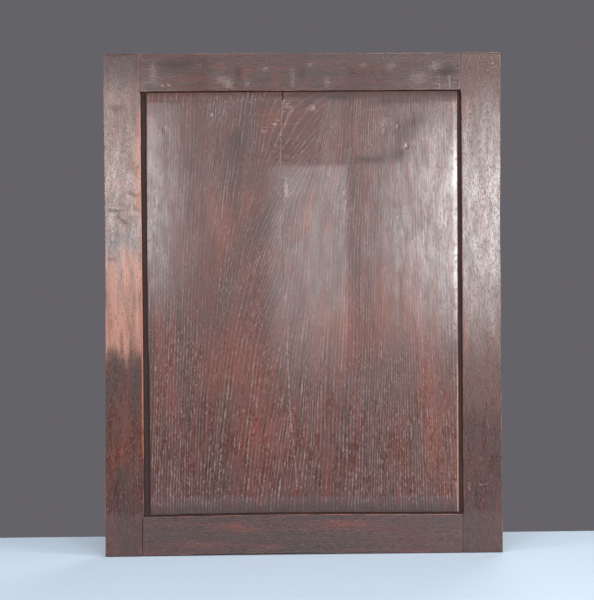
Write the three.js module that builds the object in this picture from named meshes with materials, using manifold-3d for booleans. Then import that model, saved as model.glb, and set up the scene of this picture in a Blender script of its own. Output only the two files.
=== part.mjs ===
// A joined oak wall panel: one flat board held loose in a frame of two stiles and two rails.
//
// Millimetres. X runs to the right, Z up, and the face on show looks towards -Y. Everything is
// drawn standing on its right foot at Z 0, with the frame's back in the plane Y 0. The last
// lines lower it, so that the origin is the middle of the top rail's back face.

import * as THREE from "three";
import { mergeVertices } from "three/addons/utils/BufferGeometryUtils.js";
import Module from "manifold-3d";

const wasm = await Module();
wasm.setup();

// ---- driving dimensions ----

const HALF_WIDTH = 317;
const HEIGHT = 799;
const THICKNESS = 28;
const FOOT_DROP = 5; // the left foot is longer than the right one by this much
const FOOT_CURVE_POWER = 1.5; // how late the bottom edge bends down towards that foot

// The frame's inner edges and the rails' shoulders, by X. They differ because the stiles'
// inner edges were planed back or left proud beside each joint.
const LEFT_INNER = { top: -258.6, low: -255.8 };
const RIGHT_INNER = { top: 254.5, low: 256 };
const SHOULDERS = {
  top: { left: -259.8, right: 252.7 },
  bottom: { left: -258.3, right: 254.8 },
};
const TOP_RAIL = { left: 738.2, right: 739.8 }; // height of its lower edge
const BOTTOM_RAIL_HEIGHT = 61.6;
const STEP = 5; // the length over which a stile's inner edge steps to a joint
const JOINT_GAP = 0.3; // clearance at every joint that would touch

// The groove that holds the board, and the tongue round the board's edge.
const GROOVE = { width: 8, depth: 12, front: 9 }; // front: from the frame's face to the groove
const TONGUE = { thickness: 7.2, reach: 6 }; // reach: how far it enters the groove at rest
const TENON = { length: 30, thickness: 8, height: 38, gap: 0.35 };

// The board's raised field, by X at the sides and by its gap to the rails above and below.
const FIELD = { leftTop: -249, leftLow: -245, right: 247.8, gapAbove: 1.9, gapBelow: 3 };
const BOARD_SET = 0.6; // how far the board's face lies behind the frame's
const FALL = { top: 1.1, topReach: 15, bottom: 1.6, bottomReach: 28 }; // planed-down ends

const EDGE_STEPS = 14; // straight steps along one long edge
const OAK = { frame: 0x4a2a22, panel: 0x452019 };

// ---- outlines ----

const smooth = (t) => {
  const u = Math.min(Math.max(t, 0), 1);
  return u * u * (3 - 2 * u);
};
const mix = (a, b, t) => a + (b - a) * t;
const swell = (z, middle, reach) => Math.exp(-(((z - middle) / reach) ** 2));

// The outer edges are hand-planed: each bows a millimetre or so.
function leftOuter(z) {
  return -HALF_WIDTH - 1.3 * swell(z, 714, 95) + 0.9 * swell(z, 375, 230) - 0.6 * swell(z, 0, 110);
}

function rightOuter(z) {
  return HALF_WIDTH - 1.1 * swell(z, 535, 60) - 0.8 * swell(z, 340, 50) + 1.4 * swell(z, 20, 70);
}

// 0 below the middle of the height and 1 at the top, for edges that run out of true above it.
const upperPart = (z) => smooth((z - 0.3 * HEIGHT) / (0.62 * HEIGHT));
const leftInner = (z) => mix(LEFT_INNER.low, LEFT_INNER.top, upperPart(z));
const rightInner = (z) => mix(RIGHT_INNER.low, RIGHT_INNER.top, smooth(z / (0.6 * HEIGHT)));
const fieldLeft = (z) => mix(FIELD.leftLow, FIELD.leftTop, smooth((z - 120) / 420));
const fieldRight = () => FIELD.right;

const bottomEdge = (x) => -FOOT_DROP * Math.max(-x / HALF_WIDTH, 0) ** FOOT_CURVE_POWER;
const topEdge = () => HEIGHT;
const bottomRailTop = (x) => BOTTOM_RAIL_HEIGHT + bottomEdge(x);
const topRailFoot = (x) => mix(TOP_RAIL.left, TOP_RAIL.right, (x + HALF_WIDTH) / (2 * HALF_WIDTH));

// Points of the curve x = side(z) between two heights, in order from the first to the second.
function upright(side, from, to, steps = EDGE_STEPS) {
  return Array.from({ length: steps + 1 }, (_, i) => {
    const z = mix(from, to, i / steps);
    return new THREE.Vector2(side(z), z);
  });
}

// Points of the curve z = level(x) between two places across.
function across(level, from, to, steps = EDGE_STEPS) {
  return Array.from({ length: steps + 1 }, (_, i) => {
    const x = mix(from, to, i / steps);
    return new THREE.Vector2(x, level(x));
  });
}

// ---- solids ----

// A prism with an outline in the XZ plane, reaching from one depth to another along Y.
function slab(points, front, back) {
  const geometry = new THREE.ExtrudeGeometry(new THREE.Shape(points), {
    depth: back - front,
    bevelEnabled: false,
  });
  geometry.rotateX(Math.PI / 2); // the outline's second axis becomes Z and the depth runs to -Y
  geometry.translate(0, back, 0);
  return geometry;
}

function toSolid(geometry) {
  const bare = geometry.clone();
  bare.deleteAttribute("normal");
  bare.deleteAttribute("uv");
  const merged = mergeVertices(bare, 1e-4);
  return new wasm.Manifold(
    new wasm.Mesh({
      numProp: 3,
      vertProperties: merged.attributes.position.array,
      triVerts: new Uint32Array(merged.index.array),
    }),
  );
}

function toGeometry(solid) {
  const mesh = solid.getMesh();
  const geometry = new THREE.BufferGeometry();
  geometry.setAttribute("position", new THREE.BufferAttribute(mesh.vertProperties, 3));
  geometry.setIndex(new THREE.BufferAttribute(mesh.triVerts, 1));
  geometry.computeVertexNormals();
  return geometry;
}

const slabSolid = (points, front, back) => toSolid(slab(points, front, back));

// Depths along Y, from the frame's face inwards.
const FACE = -THICKNESS;
const GROOVE_FRONT = FACE + GROOVE.front;
const GROOVE_BACK = GROOVE_FRONT + GROOVE.width;
const BOARD_FACE = FACE + BOARD_SET;
const TONGUE_FRONT = GROOVE_FRONT + (GROOVE.width - TONGUE.thickness) / 2;
const TONGUE_BACK = TONGUE_FRONT + TONGUE.thickness;
const TENON_FRONT = GROOVE_FRONT + (GROOVE.width - TENON.thickness) / 2;
const TENON_BACK = TENON_FRONT + TENON.thickness;

// The stretch of height that each rail's tenon takes up, kept clear of the rail's edges.
const TENONS = {
  top: { low: TOP_RAIL.right + GROOVE.depth, high: TOP_RAIL.right + GROOVE.depth + TENON.height },
  bottom: { low: 8, high: 8 + TENON.height },
};

// A stile. side is -1 for the left one and 1 for the right one.
function stile(side) {
  const outer = side < 0 ? leftOuter : rightOuter;
  const inner = side < 0 ? leftInner : rightInner;
  const name = side < 0 ? "left" : "right";
  const shoulderTop = SHOULDERS.top[name];
  const shoulderLow = SHOULDERS.bottom[name];
  const railFoot = topRailFoot(shoulderTop);
  const railTop = bottomRailTop(shoulderLow);
  const foot = across(bottomEdge, outer(0), shoulderLow, 4);
  const outline = [
    ...foot,
    new THREE.Vector2(shoulderLow, railTop),
    ...upright(inner, railTop + STEP, railFoot - STEP),
    new THREE.Vector2(shoulderTop, railFoot),
    new THREE.Vector2(shoulderTop, HEIGHT),
    ...upright(outer, HEIGHT, bottomEdge(outer(0))).slice(0, -1),
  ];
  let body = slabSolid(outline, FACE, 0);

  const mouth = -side * 6; // cutters start this far outside the inner edge
  const grooveFloor = (z) => inner(z) + side * GROOVE.depth;
  const grooveEnds = [railTop - GROOVE.depth, railFoot + GROOVE.depth]; // it runs on behind the rails
  const groove = [
    ...upright((z) => inner(z) + mouth, ...grooveEnds),
    ...upright(grooveFloor, ...grooveEnds.toReversed()),
  ];
  body = body.subtract(slabSolid(groove, GROOVE_FRONT, GROOVE_BACK));
  for (const [end, shoulder] of [["top", shoulderTop], ["bottom", shoulderLow]]) {
    const hole = [shoulder + mouth, shoulder + side * (TENON.length + TENON.gap)];
    const box = rectangle(hole[0], hole[1], TENONS[end].low - TENON.gap, TENONS[end].high + TENON.gap);
    body = body.subtract(slabSolid(box, TENON_FRONT - TENON.gap, TENON_BACK + TENON.gap));
  }
  return body;
}

function rectangle(x0, x1, z0, z1) {
  return [
    new THREE.Vector2(x0, z0),
    new THREE.Vector2(x1, z0),
    new THREE.Vector2(x1, z1),
    new THREE.Vector2(x0, z1),
  ];
}

// A rail with a tenon at each end. end is "top" or "bottom".
function rail(end) {
  const left = SHOULDERS[end].left + JOINT_GAP;
  const right = SHOULDERS[end].right - JOINT_GAP;
  const [low, high] = end === "top" ? [topRailFoot, topEdge] : [bottomEdge, bottomRailTop];
  const outline = [...across(low, left, right), ...across(high, right, left)];
  let body = slabSolid(outline, FACE, 0);

  const inward = end === "top" ? -1 : 1;
  const edge = end === "top" ? low : high;
  const groove = [
    ...across((x) => edge(x) + inward * 6, left - 1, right + 1),
    ...across((x) => edge(x) - inward * GROOVE.depth, right + 1, left - 1),
  ];
  body = body.subtract(slabSolid(groove, GROOVE_FRONT, GROOVE_BACK));
  const { low: foot, high: head } = TENONS[end];
  for (const [root, tip] of [[left, left - TENON.length], [right, right + TENON.length]]) {
    const overlap = Math.sign(root - tip) * 2;
    body = body.add(slabSolid(rectangle(root + overlap, tip, foot, head), TENON_FRONT, TENON_BACK));
  }
  return body;
}

// The board: a thick field, rebated at the front all round to leave a tongue flush with its back.
function board() {
  const low = (x) => bottomRailTop(x) + FIELD.gapBelow;
  const high = (x) => topRailFoot(x) - FIELD.gapAbove;
  const middle = 0;
  const lowLeft = low(FIELD.leftLow);
  const highRight = high(FIELD.right);
  const field = [
    ...across(low, fieldLeft(lowLeft), FIELD.right),
    ...upright(fieldRight, low(FIELD.right), highRight, 1).slice(1),
    ...across(high, FIELD.right, FIELD.leftTop).slice(1),
    ...upright(fieldLeft, high(FIELD.leftTop), lowLeft).slice(1, -1),
  ];
  const reach = TONGUE.reach;
  const tongue = [
    ...across((x) => bottomRailTop(x) - reach, leftInner(0) - reach, rightInner(0) + reach),
    ...upright((z) => rightInner(z) + reach, low(middle), high(middle)),
    ...across((x) => topRailFoot(x) + reach, rightInner(HEIGHT) + reach, leftInner(HEIGHT) - reach),
    ...upright((z) => leftInner(z) - reach, high(middle), low(middle)),
  ];
  return slabSolid(field, BOARD_FACE, TONGUE_BACK)
    .add(slabSolid(tongue, TONGUE_FRONT, TONGUE_BACK))
    .subtract(endFall(high(middle), -1, FALL.top, FALL.topReach))
    .subtract(endFall(low(middle), 1, FALL.bottom, FALL.bottomReach));
}

// A wedge that planes the board's face down towards one end. inward is 1 where the board lies
// above that end and -1 where it lies below.
function endFall(end, inward, drop, reach) {
  const past = 10; // the wedge runs on this far beyond the board's end and off its face
  const start = end + inward * reach;
  const stop = end - inward * past;
  const outline = [
    new THREE.Vector2(BOARD_FACE, start),
    new THREE.Vector2(BOARD_FACE + (drop * (reach + past)) / reach, stop),
    new THREE.Vector2(BOARD_FACE - past, stop),
    new THREE.Vector2(BOARD_FACE - past, start),
  ];
  const wedge = new THREE.ExtrudeGeometry(new THREE.Shape(outline), {
    depth: 2 * HALF_WIDTH,
    bevelEnabled: false,
  });
  // The outline holds depths and heights, and the extrusion runs along X.
  wedge.applyMatrix4(new THREE.Matrix4().set(0, 0, 1, -HALF_WIDTH, 1, 0, 0, 0, 0, 1, 0, 0, 0, 0, 0, 1));
  return toSolid(wedge);
}

// ---- the panel ----

function piece(name, solid, color) {
  const material = new THREE.MeshStandardMaterial({ color, roughness: 0.42, metalness: 0 });
  const mesh = new THREE.Mesh(toGeometry(solid), material);
  mesh.name = name;
  return mesh;
}

const wallPanel = new THREE.Group();
wallPanel.add(
  piece("left_stile", stile(-1), OAK.frame),
  piece("right_stile", stile(1), OAK.frame),
  piece("top_rail", rail("top"), OAK.frame),
  piece("bottom_rail", rail("bottom"), OAK.frame),
  piece("board", board(), OAK.panel),
);
wallPanel.position.z = -(HEIGHT + (TOP_RAIL.left + TOP_RAIL.right) / 2) / 2;

export default wallPanel;
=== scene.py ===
import math

import bmesh
import bpy
import numpy as np
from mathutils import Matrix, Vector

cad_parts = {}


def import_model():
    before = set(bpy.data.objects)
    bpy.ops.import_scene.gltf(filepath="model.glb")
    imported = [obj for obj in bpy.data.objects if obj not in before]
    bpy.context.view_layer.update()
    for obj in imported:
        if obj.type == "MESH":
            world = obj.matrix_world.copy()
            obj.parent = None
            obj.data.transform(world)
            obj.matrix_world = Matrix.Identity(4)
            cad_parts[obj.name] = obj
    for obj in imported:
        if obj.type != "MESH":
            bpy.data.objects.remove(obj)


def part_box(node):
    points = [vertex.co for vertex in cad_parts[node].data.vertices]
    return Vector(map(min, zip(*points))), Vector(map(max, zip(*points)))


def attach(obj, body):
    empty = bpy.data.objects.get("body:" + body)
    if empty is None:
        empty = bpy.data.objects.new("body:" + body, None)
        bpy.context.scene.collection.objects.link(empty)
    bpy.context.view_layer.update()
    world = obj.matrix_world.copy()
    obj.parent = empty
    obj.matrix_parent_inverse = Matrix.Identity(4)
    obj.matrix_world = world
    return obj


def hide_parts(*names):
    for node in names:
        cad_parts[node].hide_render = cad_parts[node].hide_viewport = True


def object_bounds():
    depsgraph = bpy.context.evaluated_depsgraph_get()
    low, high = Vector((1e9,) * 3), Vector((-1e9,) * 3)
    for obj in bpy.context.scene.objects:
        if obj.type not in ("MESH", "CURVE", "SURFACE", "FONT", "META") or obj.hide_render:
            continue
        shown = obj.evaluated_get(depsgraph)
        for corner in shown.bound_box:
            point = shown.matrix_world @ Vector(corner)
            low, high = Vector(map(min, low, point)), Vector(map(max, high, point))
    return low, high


# A joined oak wall panel: one flat board held loose in a frame of two stiles and two rails.
#
# Shapes are drawn in millimetres, standing on the right foot at Z 0, with the frame's back in
# the plane Y 0 and its face towards -Y, as in the CAD source. to_row() moves them into the row
# frame. Together the pieces stay inside the CAD model's box.

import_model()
CAD_BOX = [list(corner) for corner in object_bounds()]
MM = 0.001

# ---- driving dimensions, in millimetres ----

STILE_BOX = [[value / MM for value in corner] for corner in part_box("right_stile")]
FOOT_LEVEL = STILE_BOX[0][2]  # the right foot's height in the row frame
HEIGHT = STILE_BOX[1][2] - STILE_BOX[0][2]
THICKNESS = STILE_BOX[1][1] - STILE_BOX[0][1]
HALF_WIDTH = 317
FOOT_DROP = 5
FOOT_CURVE_POWER = 1.5
SKIN = 0.15  # the outer outline lies this far inside the CAD outline

LEFT_INNER = {"top": -258.6, "low": -255.8}
RIGHT_INNER = {"top": 254.5, "low": 256.0}
SHOULDERS = {
    "top": {"left": -259.8, "right": 252.7},
    "bottom": {"left": -258.3, "right": 254.8},
}
TOP_RAIL = {"left": 738.2, "right": 739.8}
BOTTOM_RAIL_HEIGHT = 61.6
STEP = 5
JOINT_GAP = {"left": 0.6, "right": 0.35}

GROOVE = {"width": 8, "depth": 12, "front": 9}
TONGUE = {"thickness": 7.2, "reach": 6}
TENON = {"length": 30, "thickness": 7.4, "height": 38, "gap": 0.35}
FIELD = {"left_top": -249, "left_low": -245, "right": 247.8, "gap_above": 1.9, "gap_below": 3}
BOARD_SET = 0.6
FALL = {"top": 1.1, "top_reach": 15, "bottom": 1.6, "bottom_reach": 28}

WEAR_REACH = 0.9  # over which the wear of an arris fades
FRAME_RING = 3.4  # how far the frame's growth rings stand apart
BOARD_RING_DEPTH = 9  # depth over which the board's rings shift by one
PART_SHIFT = 40  # rings added right of the spine, so that the two parts don't match
SPLIT_SPACING = 4.8  # where rings stand further apart than this, their pattern doubles
MOST_SPLIT = 2.5

FACE = -THICKNESS
GROOVE_FRONT = FACE + GROOVE["front"]
GROOVE_BACK = GROOVE_FRONT + GROOVE["width"]
GROOVE_MIDDLE = (GROOVE_FRONT + GROOVE_BACK) / 2
BOARD_FACE = FACE + BOARD_SET
TONGUE_FRONT = GROOVE_MIDDLE - TONGUE["thickness"] / 2
TONGUE_BACK = GROOVE_MIDDLE + TONGUE["thickness"] / 2
TENON_FOOT = {"top": TOP_RAIL["right"] + GROOVE["depth"], "bottom": 8}

# ---- small functions ----


def smooth(t):
    u = np.clip(t, 0, 1)
    return u * u * (3 - 2 * u)


def mix(a, b, t):
    return a + (b - a) * t


def bell(value, middle, reach):
    return np.exp(-(((value - middle) / reach) ** 2))


def spot(x, z, mark):
    """A soft spot of height 1. mark is its place and its reach across and up."""
    return bell(x, mark[0], mark[2]) * bell(z, mark[1], mark[3])


def spots(x, z, marks):
    return sum(spot(x, z, mark) for mark in marks)


def stroke(x, z, points, reach):
    """1 along a line through a few points, fading to 0 over reach on both sides."""
    nearest = np.full(np.shape(x), 1e9)
    for (ax, az), (bx, bz) in zip(points, points[1:]):
        dx, dz = bx - ax, bz - az
        along = np.clip(((x - ax) * dx + (z - az) * dz) / (dx * dx + dz * dz), 0, 1)
        distance = np.hypot(x - ax - along * dx, z - az - along * dz)
        nearest = np.minimum(nearest, distance)
    return np.exp(-((nearest / reach) ** 2))


def lattice(i, j, seed):
    """A repeatable value from -1 to 1 for each pair of whole numbers."""
    mask = 0xFFFFFFFF
    h = (i * 374761393 + j * 668265263 + seed * 974634777) & mask
    h = ((h ^ (h >> 13)) * 1274126177) & mask
    return ((h ^ (h >> 16)) & 0xFFFF) / 32767.5 - 1


def noise(u, v=0.0, seed=0):
    """Smooth noise from -1 to 1, with about one swing for each unit of u and v."""
    u, v = np.broadcast_arrays(np.asarray(u, float), np.asarray(v, float))
    i, j = np.floor(u).astype(np.int64), np.floor(v).astype(np.int64)
    s, t = smooth(u - i), smooth(v - j)
    low = mix(lattice(i, j, seed), lattice(i + 1, j, seed), s)
    high = mix(lattice(i, j + 1, seed), lattice(i + 1, j + 1, seed), s)
    return mix(low, high, t)


def rounding(distance, radius):
    """How far a rounded arris falls back at a distance from its edge."""
    run = radius - np.clip(distance, 0, radius)
    return radius - np.sqrt(np.maximum(radius**2 - run**2, 0))


def between(low, high, step):
    count = max(int(round((high - low) / step)), 1)
    return np.linspace(low, high, count + 1)


# ---- outlines, as in the CAD source ----


def left_outer(z):
    bows = 1.3 * bell(z, 714, 95) - 0.9 * bell(z, 375, 230) + 0.6 * bell(z, 0, 110)
    return -HALF_WIDTH - bows + SKIN + nicks(z, 3)


def right_outer(z):
    bows = 1.4 * bell(z, 20, 70) - 1.1 * bell(z, 535, 60) - 0.8 * bell(z, 340, 50)
    return HALF_WIDTH + bows - SKIN - nicks(z, 5)


def nicks(z, seed):
    """Small losses along an outer arris."""
    return 0.12 * (1 + noise(z / 17, 0, seed)) + 0.5 * np.maximum(noise(z / 7, 3, seed) - 0.72, 0)


def left_inner(z):
    upper = smooth((z - 0.3 * HEIGHT) / (0.62 * HEIGHT))
    return mix(LEFT_INNER["low"], LEFT_INNER["top"], upper)


def right_inner(z):
    return mix(RIGHT_INNER["low"], RIGHT_INNER["top"], smooth(z / (0.6 * HEIGHT)))


def field_left(z):
    return mix(FIELD["left_low"], FIELD["left_top"], smooth((z - 120) / 420))


def bottom_edge(x):
    return -FOOT_DROP * np.maximum(-x / HALF_WIDTH, 0) ** FOOT_CURVE_POWER


def bottom_rail_top(x):
    return BOTTOM_RAIL_HEIGHT + bottom_edge(x)


def top_rail_foot(x):
    return mix(TOP_RAIL["left"], TOP_RAIL["right"], (x + HALF_WIDTH) / (2 * HALF_WIDTH))


# ---- meshes ----

MERGE_DISTANCE = 1e-6  # metres
SHARP_ANGLE = math.radians(38)


def to_row(points):
    return (np.asarray(points) + [0, 0, FOOT_LEVEL]) * MM


def tidy(mesh):
    """Closes the seams where neighbouring points coincide and turns every face outwards."""
    work = bmesh.new()
    work.from_mesh(mesh)
    bmesh.ops.remove_doubles(work, verts=work.verts, dist=MERGE_DISTANCE)
    bmesh.ops.dissolve_degenerate(work, dist=MERGE_DISTANCE, edges=work.edges)
    bmesh.ops.recalc_face_normals(work, faces=work.faces)
    work.to_mesh(mesh)
    work.free()
    mesh.shade_smooth()
    mesh.set_sharp_from_angle(angle=SHARP_ANGLE)


def make_piece(name, points, faces, layers, material, node):
    """A mesh piece that stands for a CAD node. layers are values kept at its points."""
    mesh = bpy.data.meshes.new(name)
    mesh.from_pydata(to_row(points).tolist(), [], faces)
    for layer, values in layers.items():
        kind, field = ("FLOAT_VECTOR", "vector") if values.ndim == 2 else ("FLOAT", "value")
        data = mesh.attributes.new(layer, kind, "POINT").data
        data.foreach_set(field, values.astype(np.float32).ravel())
    tidy(mesh)
    mesh.materials.append(material)
    piece = bpy.data.objects.new(name, mesh)
    bpy.context.scene.collection.objects.link(piece)
    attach(piece, "root")
    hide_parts(node)
    return piece


def flat(values):
    """A grid of values as one row of points."""
    return values.reshape(-1, *values.shape[2:])


def grid_faces(index):
    """Quads over a grid of point numbers."""
    corners = [index[:-1, :-1], index[:-1, 1:], index[1:, 1:], index[1:, :-1]]
    return np.stack([c.ravel() for c in corners], axis=1).tolist()


# ---- the frame's bars ----
#
# A stile or rail is a row of equal rings of points. Each ring starts at the outer arris, runs
# over the face to the inner arris, in and out of the groove, over the back and up the outer
# side. "across" is 0 at the bar's outer edge and 1 at its inner edge.

ARRIS_STEPS = [0, 0.12, 0.35, 0.7, 1.2, 2.0]
BACK_ROUND = 0.8
BAR_WIDTH = 60
END_ROUND = 0.7
END_STEPS = [0.1, 0.3, END_ROUND]
ARRIS_DEPTH = 1.0  # a bar's sides start this far behind its face


def ring_stations():
    """Across, depth and groove share of one ring's points, and where its face ends."""
    near = np.array(ARRIS_STEPS) / BAR_WIDTH
    middle = between(near[-1], 1 - near[-1], 1.3 / BAR_WIDTH)[1:-1]
    face = np.concatenate([near, middle, 1 - near[::-1]])
    wall_front = np.linspace(FACE + ARRIS_DEPTH, GROOVE_FRONT, 5)[1:]
    wall_back = np.linspace(GROOVE_BACK, -BACK_ROUND, 5)
    inner = [(1, y, 0) for y in wall_front]
    inner += [(1, y, 1) for y in (GROOVE_FRONT, GROOVE_MIDDLE, GROOVE_BACK)]
    inner += [(1, y, 0) for y in wall_back]
    back_near = np.array([0, 0.25, 0.8]) / BAR_WIDTH
    back = np.concatenate([back_near, np.linspace(0.04, 0.96, 16), 1 - back_near[::-1]])[::-1]
    fall = rounding(np.minimum(back, 1 - back) * BAR_WIDTH, BACK_ROUND)
    under = [(a, -f, 0) for a, f in zip(back[1:-1], fall[1:-1])]
    outer = [(0, y, 0) for y in np.linspace(-BACK_ROUND, FACE + ARRIS_DEPTH, 8)[:-1]]
    stations = [(a, FACE, 0) for a in face] + inner + under + outer
    return np.array(stations).T, len(face)


def bar(runs, outer, inner, groove_depth, face_relief, back_relief, arris, swap):
    """Rings of a bar. outer and inner are its edges at each place of runs.

    swap is False for a bar that runs up (edges are X) and True for one that runs across.
    Returns the rings and facts about each point: its across, run, depth, distance from the
    nearest edge, share of the groove's depth, and whether it is on the face.
    """
    (across, depth, share), face_count = ring_stations()
    runs, outer, inner = (np.asarray(v, float)[:, None] for v in (runs, outer, inner))
    side = mix(outer, inner, across[None, :])
    inwards = np.sign(outer - inner)
    side = side + inwards * share[None, :] * np.asarray(groove_depth, float)[:, None]
    y = np.broadcast_to(depth[None, :], side.shape).copy()
    width = np.abs(inner - outer)
    edge = np.minimum(across, 1 - across)[None, :] * width
    on_face = np.arange(len(across)) < face_count
    on_back = (depth > -BACK_ROUND - 1e-6) & ~on_face & (share == 0)
    run = np.broadcast_to(runs, side.shape)
    x, z = (run, side) if swap else (side, run)
    y += np.where(on_face, rounding(edge, arris(run, across)) + face_relief(x, z), 0)
    y -= np.where(on_back, back_relief(side, run) * smooth(edge / 3), 0)
    rings = np.stack([x, y, z], axis=-1)
    facts = {
        "across": np.broadcast_to(across[None, :], side.shape),
        "run": run,
        "edge": edge,
        "face": np.broadcast_to(on_face[None, :], side.shape),
        "depth": y,
        "share": np.broadcast_to(share[None, :], side.shape),
    }
    return rings, facts


def draw_in(rings, start, amount):
    """Pulls the ring at start in towards its own middle, for a rounded end."""
    middle = (rings[start].max(axis=0) + rings[start].min(axis=0)) / 2
    half = np.maximum((rings[start].max(axis=0) - rings[start].min(axis=0)) / 2, 1e-6)
    share = np.where(half > 1, (half - amount) / half, 1)
    rings[start] = middle + (rings[start] - middle) * share


def bar_faces(count, size):
    index = np.arange(count * size).reshape(count, size)
    wrapped = np.concatenate([index, index[:, :1]], axis=1)
    return grid_faces(wrapped) + [index[0][::-1].tolist(), index[-1].tolist()]


def bar_piece(node, rings, layers, material):
    faces = bar_faces(*rings.shape[:2])
    return make_piece(f"{node}_wood", flat(rings), faces, layers, material, node)


def worn_arris(run, across):
    """The face arris's radius, which wear has made uneven."""
    inner_side = across > 0.5
    return 0.75 + 0.35 * noise(run / 41, np.where(inner_side, 5, 1), 7) + 0.15 * noise(run / 9, 2, 8)


def saw_marks(side, run):
    """The back is left as sawn: shallow slanting waves."""
    phase = (run + 0.22 * side + 3 * noise(run / 90, side / 60, 21)) / 6.5
    wave = 0.5 + 0.5 * np.sin(2 * math.pi * phase)
    return 0.05 + 0.14 * wave + 0.12 * (1 + noise(side / 14, run / 120, 22))


def planing(x, z, seed, depth, long_z=True):
    """Shallow hollows left by hand planing, long in the direction of the grain."""
    u, v = (x, z) if long_z else (z, x)
    broad = 1 + noise(u / 38, v / 190, seed)
    return depth * (broad + 0.05 * (1 + noise(u / 9, v / 70, seed + 1)))


def dent_field(x, z, dents):
    """Round bruises. Each dent is its place, radius and depth."""
    return sum(d[3] * bell(np.hypot(x - d[0], z - d[1]), 0, d[2]) for d in dents)


# ---- marks of use, by place on the face ----

FRAME_DENTS = [
    (305.2, 779.7, 1.6, 0.30), (308.4, 774.1, 1.4, 0.25), (291.4, 463.7, 4.5, 0.08),
    (301.0, 340.0, 2.2, 0.12), (295.5, 254.1, 2.0, 0.15), (-296.6, 713.6, 6.0, 0.06),
    (-225.3, 746.9, 1.2, 0.5), (-214.9, 746.9, 1.2, 0.5), (192.5, 51.2, 1.6, 0.2),
    (268.1, 702.2, 1.5, 0.2), (-117.9, 47.4, 2.4, 0.2),
]
BOARD_DENTS = [
    (-146.3, 700.3, 1.5, 0.5), (131.2, 673.0, 1.5, 0.6), (152.9, 680.2, 1.3, 0.5),
    (167.2, 649.7, 2.0, 0.5), (213.5, 620.8, 1.2, 0.5), (-150.5, 97.1, 1.6, 0.7),
    (-197.3, 226.9, 1.5, 0.4), (-194.3, 186.8, 1.7, 0.5), (-171.9, 174.0, 1.5, 0.5),
    (-122.3, 188.2, 1.3, 0.4), (168.8, 131.3, 1.4, 0.6), (180.0, 136.1, 1.0, 0.4),
    (223.3, 167.9, 1.3, 0.5), (59.4, 207.5, 1.3, 0.4), (-220.7, 678.1, 2.0, 0.4),
]
GOUGES = [
    ((-243, 262), (-232, 249)),
    ((-238, 192), (-221, 178)),
    ((-244, 155), (-233, 146), (-225, 142)),
]
CHECK = {"x": -31.0, "top": 737, "foot": 717, "half_width": 0.9, "depth": 2.6}
CRACK = [(-31.5, 719), (-34.5, 668), (-35.4, 604), (-34.2, 520), (-33.4, 468), (-30, 420)]
PALE_VEIN = [
    (-23.1, 372), (-25.2, 324), (-22.8, 268), (-21.8, 228), (-17, 180), (-13.6, 148), (-10.5, 101),
]
LOW_CHECK = [(-30.6, 140), (-30.4, 112)]
PALE_LINES = [  # lines of pores filled with wax
    [(-25, 505), (-22, 530), (-15.5, 558)],
    [(-9, 498), (-5, 520), (-1, 540), (4, 560), (9, 578)],
    [(-16, 500), (-12, 524), (-7, 548), (-1, 570)],
    [(33, 478), (34, 520), (36, 560)],
    [(44, 470), (45, 500), (45, 540)],
    [(56, 452), (57, 486), (56, 520)],
    [(76, 694), (73, 672), (70, 650)],
    [(87, 726), (86, 690), (89, 655), (92, 630)],
    [(93, 722), (94, 690), (98, 660)],
    [(-68, 633), (-62, 650), (-51, 662), (-36, 667), (-17, 682), (-1, 698)],
    [(-34, 676), (-42, 683), (-52, 691), (-60, 700)],
]
WAX_ON_BOARD = [
    (-20, 717, 7, 7), (-29, 722, 4, 5), (-30, 706, 4, 2), (-14, 706, 12, 2), (-48, 685, 7, 4),
    (-38, 692, 4, 4), (-60, 676, 5, 5), (-28, 410, 3, 9), (-26, 585, 4, 24), (66, 560, 5, 30),
    (18, 712, 10, 4), (130, 688, 10, 10),
]
DARK_ON_BOARD = [
    (158, 672, 20, 22), (186, 690, 14, 12), (150, 636, 22, 12), (104, 628, 26, 7),
    (-108, 655, 16, 22), (-60, 716, 16, 6), (60, 728, 26, 5), (150, 722, 40, 6),
    (10, 722, 10, 8),
]
RED_ON_BOARD = [
    (87, 660, 5, 34), (74, 668, 4, 22), (-52, 694, 12, 12), (-210, 250, 14, 50),
    (-225, 330, 12, 50), (-100, 300, 60, 60), (60, 360, 90, 60), (200, 300, 24, 120),
    (52, 655, 14, 24), (-150, 560, 16, 60), (-126, 500, 16, 60), (-86, 560, 10, 30),
    (140, 400, 60, 60), (214, 190, 20, 70), (-60, 190, 60, 50),
]
RED_BANDS = [
    [(9, 520), (12, 548), (18, 575)],
    [(-18, 502), (-12, 530)],
    [(0, 500), (3, 520), (6, 545)],
]

# ---- stiles ----


def frame_face(x, z, seed, long_z):
    return planing(x, z, seed, 0.015, long_z) + dent_field(x, z, FRAME_DENTS)


def stile_rows(rail_top, rail_foot):
    """Heights of a stile's rings, each with the depth of the slot in its inner edge there."""
    mortises = [
        (TENON_FOOT[end] - TENON["gap"], TENON_FOOT[end] + TENON["height"] + TENON["gap"])
        for end in ("bottom", "top")
    ]
    groove = (rail_top - GROOVE["depth"], rail_foot + GROOVE["depth"])
    slots = [(*groove, GROOVE["depth"])]
    slots += [(low, high, TENON["length"] + TENON["gap"]) for low, high in mortises]
    ends = sorted(z for low, high, _ in slots for z in (low, high))
    rows = set(between(END_ROUND, HEIGHT - END_ROUND, 2.0).round(3))
    rows |= {rail_top, rail_top + STEP, rail_foot - STEP, rail_foot, 0.0, HEIGHT}
    rows |= set(END_STEPS[:-1]) | {HEIGHT - step for step in END_STEPS[:-1]}
    heights, depths = [], []

    def depth_at(z):
        return max([depth for low, high, depth in slots if low < z < high], default=0)

    for z in sorted(rows | set(ends)):
        sides = (z - 0.01, z + 0.01) if z in ends else (z,)
        for probe in sides:
            heights.append(z)
            depths.append(depth_at(probe))
    return np.array(heights), np.array(depths, float)


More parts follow.
